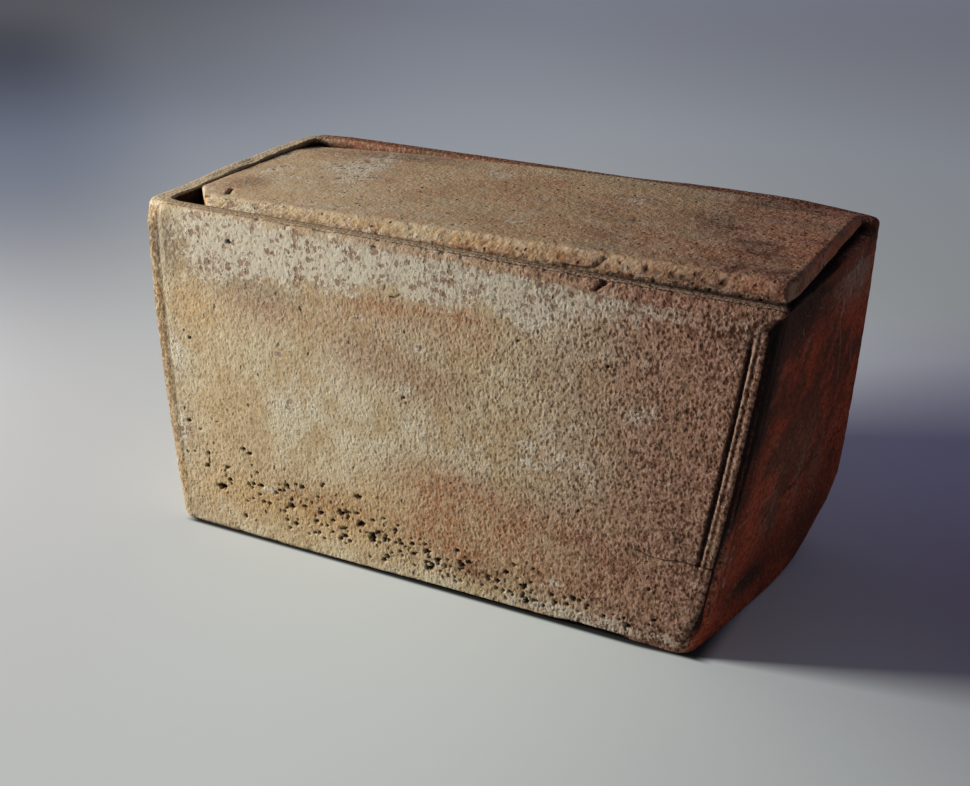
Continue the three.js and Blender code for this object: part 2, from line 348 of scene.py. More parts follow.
def makeStone(name, look, colours, patterns):
    material = bpy.data.materials.new(name)
    graph = Graph(material)
    place = graph.add("ShaderNodeTexCoord", {}, {}, "Object")
    drawn = graph.scaled(place, look["draw"])
    leaning = {"Vector": place, "Rotation": (look["lean"], 0, 0), "Scale": look["streak"]}
    streaked = graph.add("ShaderNodeMapping", {"vector_type": "TEXTURE"}, leaning)

    def bend(source, scale, amount):
        waves = {"Vector": source, "Scale": scale, "Detail": 2}
        warp = graph.add("ShaderNodeTexNoise", {}, waves, "Color")
        sockets = {0: warp, 1: (amount, amount, amount), 2: source}
        return graph.add("ShaderNodeVectorMath", {"operation": "MULTIPLY_ADD"}, sockets)

    mottling = graph.noise(place, patterns["mottling"], 6, 0.66)
    patches = graph.noise(place, patterns["patches"], 4, 0.6, 0.5)
    blotches = graph.noise(place, patterns["blotches"], 3, 0.6, 0.3)
    clumps = graph.noise(drawn, look["clumps"], 3, 0.62, 0.4)
    grains = graph.noise(drawn, look["grain"], 3, 0.7)
    fine = graph.noise(place, patterns["fine"], 2, 0.6)
    streaks = graph.noise(streaked, look["streakScale"], 4, 0.6)
    bent = bend(drawn, 160, 0.004)
    pecks = graph.cells(bent, look["pecks"])[0]
    hollows = 1 - graph.step(pecks, 0.12, 0.6)
    texture = grains * 0.55 + clumps * 0.45 - hollows * look["hollowShare"]
    names = (
        "crust", "ochre", "rust", "mauve", "soil", "umber",
        "dirtAndShade", "relief", "wearAndHighlight", "pits", "pocked", "rough",
    )
    layer = {each: graph.attribute(each) for each in names}

    # the field of the stone, its stains, and the soil with its scuffed and dark places
    colour = graph.mix(graph.step(mottling, 0.36, 0.64), colours["field"], colours["pale"])
    uneven = mottling + blotches * 0.4 + (texture - 0.45) * 0.7
    for stain, low, high in (("ochre", 0.48, 0.82), ("rust", 0.44, 0.84), ("mauve", 0.34, 0.74)):
        colour = graph.mix(layer[stain] * graph.step(uneven, low, high), colour, colours[stain])
    worn = graph.step(streaks + (mottling - 0.5) * 0.6, 0.56, 0.78)
    soiled = graph.mix(worn * 0.6, colours["soil"], look["scuffed"])
    stained = graph.step(patches + (streaks - 0.5) * 0.4 + (mottling - 0.5) * 0.7, 0.52, 0.36)
    soiled = graph.mix(stained * 0.7, soiled, colours["umber"])
    colour = graph.mix(layer["soil"], colour, soiled)
    colour = graph.mix(layer["umber"] * graph.step(uneven, 0.3, 0.7), colour, colours["umber"])

    # the whitish crust, ragged at its edge, and brown spots in it, each in a cell of its own
    ragged = layer["crust"] + (mottling - 0.5) * 1.4 + (blotches - 0.5) * 1.3 + (texture - 0.45) * 1.2
    crusted = graph.step(ragged, 0.3, 0.66)
    apart, chance = graph.cells(bend(place, 260, 0.007), look["spots"])
    spotShape = chance * 0.56 - apart + (blotches - 0.5) * 0.6 + (clumps - 0.5) * 0.5
    spots = graph.step(spotShape, 0.0, 0.12)
    apart, chance = graph.cells(bend(place, 420, 0.003), look["dots"])
    dots = graph.step(chance * 0.6 - apart + (clumps - 0.5) * 0.5, 0.03, 0.15)
    eaten = (spots + dots * 0.7) * crusted
    colour = graph.mix(crusted * 0.8, colour, colours["crust"])

    # darker in the hollows of the texture and of deep pecking, partly dirt and partly painted shade, and
    # paler on the ridges, partly wear and partly painted highlight
    dirtAndShadeTone = graph.mix(layer["mauve"], colours["dirtAndShade"], colours["umber"])
    paler = graph.mix(layer["mauve"] + layer["soil"], colours["pale"], colours["blush"])
    colour = graph.mix(graph.step(texture, 0.49, 0.35) * layer["dirtAndShade"], colour, dirtAndShadeTone)
    ridgeWearAndHighlight = graph.step(texture, 0.45, 0.58) * (0.5 + layer["mauve"] * 0.25 - layer["soil"] * 0.3)
    colour = graph.mix(ridgeWearAndHighlight, colour, paler)
    colour = graph.mix(graph.step(layer["relief"], 0.5, 0.05) * layer["dirtAndShade"] * 0.7, colour, dirtAndShadeTone)
    colour = graph.mix(graph.step(blotches, 0.5, 0.36) * layer["mauve"] * 0.4, colour, dirtAndShadeTone)
    colour = graph.mix(graph.step(blotches, 0.52, 0.68) * layer["mauve"] * 0.4, colour, paler)
    colour = graph.mix(layer["wearAndHighlight"] * (mottling * 0.6 + 0.3), colour, paler)
    colour = graph.mix(eaten * 0.75, colour, colours["spot"])

    # dark lines along the top of the front rim, then small holes, then the painted shade of the pits layer
    across, deep, up = graph.add("ShaderNodeSeparateXYZ", {}, {0: place}, None)
    lines = 0
    for level, halfWidth, strength in look["rimLines"]:
        offset = deep + (patches - 0.5) * 0.004 - level
        line = graph.step(offset * offset, (1.6 * halfWidth) ** 2, (0.4 * halfWidth) ** 2)
        broken = graph.step(blotches, 0.3, 0.5) * (graph.step(across, -0.25, 0.15) * 0.6 + 0.4)
        lines = lines + line * graph.step(up, *look["rimTop"]) * broken * strength
    if look["rimLines"]:
        colour = graph.mix(lines, colour, colours["umber"])
    hole, rare = graph.cells(bent, patterns["holes"])
    small = (1 - graph.step(hole, 0.1, 0.3)) * graph.step(rare + layer["pocked"] * 0.75, 1.0, 1.1)
    colour = graph.mix(small * 0.85, colour, colours["umber"])
    # the pits layer is painted shade: near black in pits, cracks, grooves, gaps and under the lid
    colour = graph.mix(layer["pits"], colour, colours["paintedShadeBlack"])

    rise = grains * look["grainHeight"] + clumps * look["clumpHeight"] - hollows * look["peckDepth"]
    height = rise * layer["rough"] * (mottling * 1.6 + 0.2)
    height = height + fine * patterns["fineHeight"] + blotches * patterns["blotchHeight"]
    height = height - eaten * patterns["spotDepth"] - small * patterns["holeDepth"]
    height = height - lines * patterns["lineDepth"]
    bump = graph.add("ShaderNodeBump", {}, {"Strength": 1.0, "Distance": 1.0, "Height": height})
    sockets = {
        "Base Color": colour,
        "Roughness": graph.step(mottling, 0.2, 0.8) * 0.15 + 0.8,
        "Specular IOR Level": 0.2,
        "Normal": bump,
    }
    shader = graph.add("ShaderNodeBsdfPrincipled", {}, sockets)
    graph.add("ShaderNodeOutputMaterial", {}, {"Surface": shader})
    return material


def zones(across, up, table):
    # the sum of soft-edged zones
    total = np.zeros(len(across))
    for centre, level, halfWidth, halfHeight, strength in table:
        run, rise = (across - centre) / halfWidth, (up - level) / halfHeight
        total += strength * np.exp(-(run**2) - rise**2)
    return total


# in millimetres: a lean is how far an edge moves in down to the foot, and a zone is
# (across, up, half width, half height, strength)
chestSettings = {
    "height": 343,
    "frontEdge": -146,
    "frontLean": 3,
    "leftEdge": -322,
    "leftLean": 17,
    "leftBulge": 6.5,
    "rightEdge": 320,
    "rightLean": 52,
    "rightBulge": 3,
    "rightLip": 8.5,
    "voxel": 2.3,
    "mostTriangles": 196000,
    "unevenness": 0.4,
    "pecking": 0.7,
    "pitCount": 210,
    "pitRadius": (1.5, 3.8),
    "pitBand": (  # along the front: x, height, spread, share of the pits
        (-305, 112, 14, 0.12),
        (-250, 76, 26, 0.45),
        (-190, 54, 20, 0.9),
        (-110, 48, 19, 1.0),
        (-50, 36, 16, 0.8),
        (0, 27, 12, 1.0),
        (60, 27, 11, 1.0),
        (110, 26, 12, 0.6),
        (180, 25, 10, 0.25),
        (230, 24, 10, 0.1),
    ),
    "bigPits": (  # x, height, half width, half height, depth
        (-249, 49, 6.2, 3.6, 7),
        (-164, 48, 4.0, 3.4, 6),
        (-83, 49, 4.4, 3.2, 6),
        (-85, 78, 4.0, 2.4, 5),
        (-200, 62, 3.6, 2.2, 5),
        (-9, 38, 4.2, 2.6, 6),
        (-7, 20, 4.4, 2.6, 6),
        (24, 48, 3.0, 1.8, 4),
        (76, 39, 3.0, 2.2, 5),
        (-70, 38, 4.4, 5.2, 5),
        (-102, 30, 3.6, 2.6, 5),
        (-212, 95, 3.2, 2.0, 4),
        (-285, 116, 2.6, 2.0, 4),
        (-221, 316, 3.4, 2.6, 3),
        (-32, 195, 2.0, 1.6, 3),
        (-276, 208, 2.2, 1.8, 3),
        (170, 267, 1.8, 1.6, 3),
        (85, 274, 1.8, 1.6, 3),
        (147, 122, 1.8, 1.6, 3),
        (218, 61, 2.0, 1.8, 3),
    ),
    "rimChips": (  # x, height, half width, half height, lean, depth
        (160, 337, 7, 2.8, 0.75, 5), (104, 338, 4, 1.6, 0.2, 2), (-60, 337, 5, 1.4, 0.1, 1.5),
    ),
    "frontCrack": ((204, 98), (212, 96), (222, 94), (238, 95), (252, 97), (268, 96), (282, 95)),
    "endCrack": ((-146, 95), (-120, 92), (-60, 97), (-30, 118), (10, 116), (45, 128), (130, 134)),
    "scratch": ((-44, 292), (-38, 293), (-34, 296)),
    "crustFoot": (
        (-320, 268), (-200, 284), (-120, 292), (-60, 299), (40, 299), (90, 290), (160, 308), (320, 330),
    ),
    "frontCrust": (
        (-14, 248, 5, 5, 1.4), (-168, 212, 6, 6, 1.0), (-80, 265, 9, 5, 0.7), (-30, 203, 9, 6, 0.5),
        (96, 176, 10, 6, 0.5), (203, 228, 18, 13, 0.45), (160, 200, 40, 14, 0.3), (150, 276, 30, 7, 0.4),
        (-296, 185, 12, 32, 0.7), (-303, 100, 9, 16, 0.6), (125, 42, 9, 10, 0.6),
        (-292, 104, 18, 26, 0.5), (175, 243, 36, 22, 0.3), (-150, 165, 70, 30, 0.34),
        (20, 168, 90, 22, 0.36), (120, 160, 50, 26, 0.26), (150, 12, 90, 7, 0.9), (-250, 12, 40, 6, 0.3),
        (-190, 60, 10, 7, 0.6), (-250, 30, 12, 8, 0.5), (230, 150, 30, 30, 0.15),
    ),
    "frontOchre": (
        (-316, 200, 13, 170, 0.45), (-272, 245, 34, 30, 0.7), (-250, 130, 50, 60, 0.35),
        (-180, 48, 120, 32, 0.9), (-60, 66, 60, 40, 0.5), (-306, 332, 18, 14, 0.6), (40, 22, 60, 10, 0.4),
    ),
    "frontRust": (
        (-60, 281, 56, 16, 0.8), (25, 288, 50, 15, 0.75), (40, 262, 42, 17, 0.6), (-130, 252, 90, 22, 0.45),
        (60, 98, 80, 28, 0.7), (150, 75, 90, 36, 0.9), (0, 122, 60, 20, 0.4), (-10, 60, 50, 20, 0.5),
        (232, 12, 22, 10, 1.0), (-262, 300, 20, 20, 0.4), (240, 334, 90, 6, 0.9), (60, 336, 90, 4, 0.7),
        (-58, 226, 56, 30, 0.5), (12, 214, 46, 26, 0.5), (-190, 262, 46, 20, 0.35), (30, 58, 70, 26, 0.7),
        (140, 52, 80, 26, 0.7), (46, 32, 30, 12, 0.7), (236, 318, 44, 18, 0.9), (120, 165, 26, 18, 0.35),
        (242, 126, 26, 34, 0.5), (-120, 62, 60, 26, 0.4), (0, 100, 60, 24, 0.35), (40, 172, 60, 24, 0.25),
    ),
    "frontMauve": ((115, 250, 46, 22, 0.12), (60, 120, 60, 20, 0.2)),
    "frontUmber": (
        (-296, 308, 24, 30, 0.4), (-236, 298, 46, 34, 0.42), (-316, 190, 12, 170, 0.35),
        (-180, 272, 40, 22, 0.3), (-60, 232, 50, 26, 0.2), (0, 212, 40, 22, 0.2), (50, 32, 34, 12, 0.4),
        (282, 318, 26, 18, 0.6), (268, 40, 20, 26, 0.35), (225, 18, 26, 12, 0.5), (246, 110, 18, 40, 0.4),
        (-160, 60, 60, 24, 0.2),
    ),
    "endPale": (
        (92, 306, 40, 26, 1.1), (40, 312, 40, 14, 0.4), (-10, 160, 60, 40, 0.2), (20, 120, 10, 50, 0.4),
        (-40, 100, 30, 20, 0.3), (60, 110, 16, 40, 0.3), (-120, 96, 14, 10, 0.5),
    ),
    "endScratches": (
        ((-24, 130), (-60, 127), (-120, 120)), ((-20, 84), (-34, 112), (-24, 150)),
        ((60, 262), (72, 232), (80, 196), (84, 170)), ((20, 150), (34, 180), (40, 214)),
        ((100, 250), (110, 205)),
    ),
    "endUmber": (
        (-106, 250, 15, 66, 0.9), (-104, 120, 16, 60, 0.5), (-40, 300, 90, 26, 0.35),
        (-60, 314, 80, 26, 0.7), (0, 44, 120, 30, 0.45), (70, 70, 60, 60, 0.5), (-40, 70, 30, 40, 0.3),
        (-90, 200, 24, 40, 0.3), (40, 235, 40, 24, 0.3), (-90, 255, 40, 8, 0.3), (-60, 40, 36, 14, 0.6),
    ),
    "look": {  # lumps in a metre, heights and depths in metres, and how far patterns are drawn out by axis
        "draw": (1, 1, 0.78), "grain": 430, "grainHeight": 0.001, "clumps": 240, "clumpHeight": 0.0011,
        "pecks": 250, "peckDepth": 0.0007, "hollowShare": 0.1, "lean": -0.46, "streak": (1, 1, 7),
        "streakScale": 80, "scuffed": paint(178, 120, 92), "spots": 128, "dots": 210,
        "rimLines": ((-0.1412, 0.0009, 0.8), (-0.1352, 0.0007, 0.6)),  # y, half width, strength
        "rimTop": (0.3385, 0.3405),  # the z where they fade in
    },
}


def chestEdges(z, settings):
    # the x of the front's left and right edges at a height, as in the CAD
    down = 1 - z / settings["height"]
    bulge = 4 * down * (1 - down)
    lip = settings["rightLip"] * (1 - ease(z, 323, 338))
    leftEdge = settings["leftEdge"] + settings["leftLean"] * down - settings["leftBulge"] * bulge
    rightEdge = settings["rightEdge"] - lip - settings["rightLean"] * down + settings["rightBulge"] * bulge
    return leftEdge, rightEdge


def chestSides(points, normals):
    # how much each vertex belongs to each side, and whether it is inside or in the lid's seat
    x, y, z = points.T
    facing = (0.35, 0.8)
    inside = (np.abs(x + 18) < 268) & (y > -121) & (y < 124) & (z > 25) & (z < 316)
    outer = ~inside
    seat = ((y > -131) & (y < 130) & (x > -304) & (z > 312) & (z < 341)).astype(float)
    front = outer * ease(-normals[:, 1], *facing) * (y < -120)
    right = outer * ease(normals[:, 0], *facing) * (x > 230)
    back = outer * ease(normals[:, 1], *facing) * (y > 110)
    left = outer * ease(-normals[:, 0], *facing) * (x < -270)
    top = outer * ease(normals[:, 2], *facing) * (z > 300)
    bottom = outer * ease(-normals[:, 2], *facing) * (z < 40)
    return inside, outer, seat, front, right, back, left, top, bottom


def choosePits(settings):
    # (x, height, half width, half height, depth) of each pit in the front
    random = np.random.default_rng(7)
    band = np.array(settings["pitBand"], float)
    pits = list(settings["bigPits"])
    low, high = settings["pitRadius"]
    while len(pits) < settings["pitCount"]:
        x = random.uniform(band[0, 0], band[-1, 0])
        centre, spread, share = (np.interp(x, band[:, 0], band[:, k]) for k in (1, 2, 3))
        z = random.normal(centre, spread * 0.75)
        kept = random.uniform() < share
        size = low + (high - low) * random.beta(1.1, 3.4)
        flatness = random.uniform(0.6, 1.1)
        if kept and z > 13:
            pits.append((x, z, size, size * flatness, size * random.uniform(1.0, 1.6)))
    return pits


def cutPits(sink, paintedShade, front, x, z, pits, chips):
    # sinks the front's pits and the chips in its rim, and paints shade into them, deeper pits darker, in
    # place
    onFront = np.flatnonzero(front > 0.1)
    fx, fz = x[onFront], z[onFront]
    for px, pz, halfWidth, halfHeight, depth in pits:
        distance = np.hypot((fx - px) / halfWidth, (fz - pz) / halfHeight)
        ragged = distance + 0.18 * np.sin(5 * np.arctan2(fz - pz, fx - px) + px)
        bowl = np.sqrt(np.clip(1 - ragged**2, 0, 1))
        sink[onFront] += depth * bowl
        shade = ease(bowl, 0.15, 0.8) * min(1, 0.25 + depth / 5)
        paintedShade[onFront] = np.maximum(paintedShade[onFront], shade)
    for px, pz, halfWidth, halfHeight, lean, depth in chips:
        run = (fx - px) * math.cos(lean) + (fz - pz) * math.sin(lean)
        rise = (fz - pz) - (fx - px) * math.tan(lean)
        bowl = 1 - ease(np.hypot(run / halfWidth, rise / halfHeight), 0.4, 1)
        sink[onFront] += depth * bowl
        paintedShade[onFront] = np.maximum(paintedShade[onFront], 0.9 * bowl)


def chestRelief(points, normals, pits, settings):
    # how far each vertex goes in, in millimetres, and the layers that the stone is coloured by
    x, y, z = points.T
    leftEdge, rightEdge = chestEdges(z, settings)
    fromLeft, fromRight = x - leftEdge, rightEdge - x
    frontDepth = y - settings["frontEdge"] - settings["frontLean"] * (1 - z / settings["height"])
    inside, outer, seat, front, right, back, left, top, bottom = chestSides(points, normals)

    # uneven walls, pecked more on the front's field than on the frame round it
    field = front * ease(fromLeft, 12, 22) * ease(fromRight, 15, 22)
    field = field * ease(z, 8, 18) * (1 - ease(z, 324, 330))
    rough = np.clip(field + right + back + left, 0, 1)
    sink = settings["unevenness"] * (0.5 + 0.5 * swell(points, 70, 3, 3)) * (1 - 0.95 * bottom)
    backRim = outer * (y > 112) * (z > 325) * (1 - back)
    nearest, chance = dimples(points, (5.5, 5.5, 7.0), 21)
    hollow = (1 - ease(nearest, 0.1, 0.7)) * (0.3 + 0.7 * chance)
    coarse = 0.5 + 0.5 * swell(points, (8, 8, 12), 33, 2)
    pecked = 0.6 * hollow + 0.5 * coarse
    sink += settings["pecking"] * pecked * (0.3 + 0.7 * rough) * (1 - bottom)

    # arrises: chipped where a lump of noise is high, and worn round at the rim's front left corner
    arris = np.maximum.reduce([
        front * (1 - ease(fromLeft, 0, 9)),
        front * (1 - ease(fromRight, 0, 4)),
        (1 - ease(np.abs(y + 143), 1, 7)) * ease(z, 331, 338) * (y < -128),
        front * (1 - ease(z, 2, 14)),
    ])
    chips = ease(swell(points, 11, 51, 3), 0.1, 0.6)
    sink += 1.3 * arris * chips
    wornCorner = np.linalg.norm((points - (-324, -148, 345)) / (32, 18, 25), axis=1)
    sink += 7 * (1 - ease(wornCorner, 0.15, 1.0))
    leftRim = top * (x < -298) * (1 - ease(x, -304, -299))
    sink += 1.2 * leftRim * ease(swell(points, (30, 22, 30), 57, 2), -0.2, 0.7)

    # fine lines along the rim, and an ear at its open end
    wander = 0.5 * swell(points, 30, 58)
    rimTop = ease(z, 339, 342) * (y < -130)
    rimLine = (1 - ease(np.abs(y + 140.5 + wander), 0.4, 1.4)) * rimTop
    frameLine = front * (1 - ease(np.abs(z - 328 + 0.006 * x + swell(points, 40, 59)), 0.4, 1.6))
    frameLine = frameLine * ease(swell(points, 22, 60), -0.5, 0.4)
    frameLine = frameLine * ease(fromLeft, 16, 24) * ease(fromRight, 12, 20)
    sink += 0.25 * rimLine + 0.4 * frameLine
    ear = (front + right) * (1 - ease(np.abs(z - 328), 4, 9))
    ear = ear * (1 - ease(fromRight, 2, 12)) * (frontDepth < 30)
    sink += 2.0 * np.clip(ear, 0, 1)

    # painted shade in the lines, grooves and channels, which hardly any light gets into, and in the gap
    # between the rim and the lid
    broken = ease(swell(points, 25, 61), -0.6, 0.2)
    rimGapShade = (1 - ease(np.abs(y + 130.5), 1.2, 3.2)) * (z > 333) * outer
    rimGapShade = rimGapShade * (0.35 + 0.65 * ease(x, 60, 230))
    paintedShade = np.maximum(0.15 * frameLine * ease(x, -150, 100), 0.95 * rimGapShade * ease(x, -290, -270))
    beads = front * (z > 90) * ease(z, 90, 120)
    innerGrooveShade = beads * (1 - ease(np.abs(fromRight - 15 - 0.006 * (z - 100)), 1.2, 3.4))
    outerGrooveShade = beads * (1 - ease(np.abs(fromRight - 9), 0.5, 2.0)) * (0.4 + 0.6 * broken)
    leftGrooveShade = front * (1 - ease(np.abs(fromLeft - 18.5), 0.6, 2.2)) * ease(z, 60, 90)
    gutterWidth = np.interp(z, (30, 90, 120, 160, 220, 320), (10, 16, 19, 23, 27, 27))
    gutterWidth += 2 * swell(points, (40, 40, 26), 62, 2)
    gutterShade = right * ease(frontDepth, 0.5, 2.5) * (1 - ease(frontDepth, gutterWidth - 5, gutterWidth + 4))
    gutterShade += 0.5 * right * ease(frontDepth, 15, 25) * (1 - ease(frontDepth, 36, 44)) * ease(z, 110, 180)
    gutterShade = np.clip(gutterShade, 0, 1)
    gutterShade *= ease(z, 12, 34) * (1 - ease(z, 322, 334))
    lineDepth = np.interp(z, (60, 140, 200, 250, 300), (30, 30.5, 33, 36, 38)) + 1.2 * swell(points, 30, 63)
    endLineShade = right * (1 - ease(np.abs(frontDepth - lineDepth), 0.6, 2.4)) * broken * ease(z, 30, 60)
    channelShade = (frontDepth > 1.2) * (frontDepth < 8) * (x > 230) * outer
    channelShade = channelShade * ease(z, 12, 34) * (1 - ease(z, 322, 334))

    # painted shade under the lid's overhanging end and in the hollow at its back corner, and painted black
    # on the walls behind the lid's missing corner
    level = ease(normals[:, 2], 0.3, 0.7)
    toBack = ease(y, 10, 70)
    lipped = toBack * ease(x, 310, 314)
    shadowed = np.maximum(ease(z, 327, 332) * (1 - toBack), level * (z > 322))
    underLidShade = ease(x, 296, 303) * (np.abs(y) < 129) * (z < 336) * shadowed * (1 - lipped)
    endHollowShade = ease(x, 292, 300) * (y > 92) * (y < 132) * ease(z, 328, 332)
    endHollowShade = endHollowShade * (1 - ease(z, 343, 345.5)) * (1 - lipped)
    leftInner = (x > -309) * (x < -296) * (y > -131) * (y < 124) * (z > 300)
    behindHoleShade = (1 - ease(x, -270, -246)) * ease(z, 230, 262) * (z < 340.5)
    behindHoleShade = behindHoleShade * np.clip(inside + seat + leftInner, 0, 1)
    paintedShade = np.maximum.reduce([
        paintedShade, 0.97 * gutterShade, 0.97 * channelShade, 0.8 * endLineShade, 0.45 * outerGrooveShade, 0.3 * leftGrooveShade,
        0.8 * innerGrooveShade * (1 - 0.5 * ease(z, 200, 300)),
        0.95 * underLidShade, 0.95 * endHollowShade, 0.93 * behindHoleShade,
    ])

    # pits, chips, cracks and scratches, with painted shade in the pits, chips and cracks
    cutPits(sink, paintedShade, front, x, z, pits, settings["rimChips"])
    chipPale = front * (1 - ease(np.hypot((x - 170) / 11, (z - 333) / 6), 0.4, 1)) * (paintedShade < 0.2)
    wobble = 0.8 * swell(points, 8, 77)
    for line, width in ((settings["frontCrack"], 1.1), (settings["scratch"], 1.3)):
        gap = front * (1 - ease(lineDistance(x, z + wobble, line), 0.2, width))
        sink += 1.4 * gap
        paintedShade = np.maximum(paintedShade, 0.85 * gap)
    endGap = lineDistance(y, z + 2.5 * swell(points, 16, 78), settings["endCrack"])
    endShape = right * (1 - ease(endGap, 0.4, 2.0)) * ease(swell(points, 30, 79), -0.6, 0.1)
    sink += 1.4 * endShape
    paintedShade = np.maximum(paintedShade, 0.7 * endShape)
    scratched = np.zeros(len(points))
    for line in settings["endScratches"]:
        gap = lineDistance(y, z + 2 * swell(points, 22, 80), line)
        shape = right * (1 - ease(gap, 0.6, 2.6)) * ease(swell(points, 14, 81), -0.5, 0.3)
        scratched = np.maximum(scratched, shape)
    sink += 0.5 * scratched

    # where each colour lies: the crust in a band under the rim, the rest in zones
    drift = 10 * swell(points, 50, 91, 2)
    foot = np.array(settings["crustFoot"], float)
    bandFoot = np.interp(x, foot[:, 0], foot[:, 1]) + drift
    stripFoot = 332 - 5 * ease(x, 60, 230) + 2 * swell(points, 24, 90, 2)
    strip = ease(z, stripFoot, stripFoot + 6) * (0.35 + 0.45 * ease(x, -220, 0))
    band = ease(z, bandFoot - 18, bandFoot + 14) * (1 - strip) * ease(fromLeft, 10, 70)
    band *= 0.74 + 0.16 * ease(x, -260, -100) - 0.4 * ease(x, 60, 240)
    pitBand = np.array(settings["pitBand"], float)
    pocked = np.interp(x, pitBand[:, 0], pitBand[:, 3])
    centre = np.interp(x, pitBand[:, 0], pitBand[:, 1])
    # painted highlights: pale lines on the lit walls of the left groove and of a groove by the right edge
    grooveHighlight = front * (1 - ease(np.abs(fromLeft - 21.5), 0.8, 2.2)) * ease(z, 55, 80)
    beadHighlight = front * (1 - ease(np.abs(fromRight - 11.7), 0.5, 1.8)) * ease(z, 90, 115)
    margin = front * (1 - ease(fromLeft, 14, 20))
    rimStrip = rimTop * ease(np.abs(y + 131), 9.5, 3)
    cellar = 0.22 * inside + 0.35 * seat
    layers = {
        # relief is low in deep pecking, where the stone gets painted shade
        "relief": 1 - pecked,
        # worn arrises, scratches and pale zones, with painted highlights on the lit groove walls and on the
        # left rim's top
        "wearAndHighlight": np.clip(
            arris * (0.3 + 0.6 * chips) * (1 - ease(x, 0, 250) * 0.8) + 0.7 * leftRim
            + 0.9 * grooveHighlight + 0.6 * beadHighlight * broken + 0.8 * scratched + chipPale
            + 0.35 * right * zones(y, z, settings["endPale"]), 0, 1),
        # the pits layer carries the painted shade
        "pits": paintedShade,
        "pocked": front * (0.12 + 0.88 * pocked * np.exp(-(((z - centre) / 26) ** 2))),
        "dirtAndShade": 0.3 + 0.62 * ease(x, -120, 240) + 0.25 * margin - 0.1 * band * front,
        "rough": (0.45 + 0.55 * ease(x, -180, 200) + 0.2 * front * (1 - ease(z, 60, 120)))
        * (1 - 0.5 * band * front),
        "crust": front * (0.95 * band + zones(x, z, settings["frontCrust"])) * (1 - 0.9 * margin)
        + 0.3 * right * zones(y, z, settings["endPale"]) + 0.25 * left + 0.2 * back,
        "ochre": front * zones(x, z, settings["frontOchre"]) + 0.35 * margin + 0.3 * left
        + 0.45 * top * (1 - ease(x, -200, 100)) + 0.5 * backRim * (1 - ease(x, -150, 50)),
        "rust": front * zones(x, z, settings["frontRust"]) + 0.4 * top * (1 - rimStrip) * ease(x, -315, -230)
        + 0.5 * top * ease(y, 100, 125) + 0.3 * back + 0.5 * front * ease(z, 331, 336) * ease(x, -200, 100),
        "mauve": front * (0.95 * ease(x, 40, 250) + zones(x, z, settings["frontMauve"]))
        + top * (0.12 + 0.55 * ease(x, -100, 250)) + 0.3 * front * ease(z, 329, 333) * ease(x, -280, 0),
        "soil": 0.97 * right * (1 - 0.4 * zones(y, z, settings["endPale"])) + cellar + 0.3 * back
        + 0.4 * bottom + 0.45 * backRim * ease(x, -300, -260),
        "umber": right * zones(y, z, settings["endUmber"])
        + 0.25 * front * (1 - ease(fromRight, 6, 30)) + 0.4 * seat
        + front * zones(x, z, settings["frontUmber"])
        + 0.2 * front * (1 - ease(fromLeft, 10, 70)) + 0.7 * backRim
        + 0.12 * margin + 0.3 * left,
    }

    # what the photograph's view shows keeps all its vertices
    seen = (np.clip(front + top, 0, 1) * outer > 0.02) | (right > 0.1) | ((seat > 0) & (x < -285))
    freedom = np.where(seen, 0, np.where(inside | (bottom > 0.3), 1, 0.7))
    print("chest vertices kept as they are:", int((freedom == 0).sum()))
    return sink, layers, freedom


def makeChest(settings):
    piece = remeshed("chest", "limestone_chest", settings["voxel"])
    pits = choosePits(settings)

    # finer faces where pits, cracks, the rim's lines and the bead lie
    points = readPoints(piece.data)
    near = np.zeros(len(points), bool)
    onFront = np.flatnonzero(points[:, 1] < -139)
    for px, pz, halfWidth, halfHeight, _ in pits:
        gap = np.hypot(points[onFront, 0] - px, points[onFront, 2] - pz)
        near[onFront] |= gap < max(halfWidth, halfHeight) + 1
    for line in (settings["frontCrack"], settings["scratch"]):
        near[onFront] |= lineDistance(points[onFront, 0], points[onFront, 2], line) < 3
    x, y, z = points.T
    near |= (np.abs(y + 139) < 4) & (z > 339)
    near |= (y < -141) & (z > 330) & (np.abs(x - 163) < 14)
    near |= (y < -139) & (z > 90) & (np.abs(x - chestEdges(z, settings)[1] + 9) < 10)
    refine(piece.data, near)
    drawOnto(piece, "chest")
    mesh = piece.data
    points, normals = readPoints(mesh), readNormals(mesh)
    print("chest mesh", len(points))
    sink, layers, freedom = chestRelief(points, normals, pits, settings)
    writePoints(mesh, points - normals * sink[:, None])
    writeLayers(mesh, layers)
    thinOut(piece, freedom, settings["mostTriangles"])
    stone = makeStone("chest stone", settings["look"], stoneColours, stonePatterns)
    finishPiece(piece, "chest", stone)


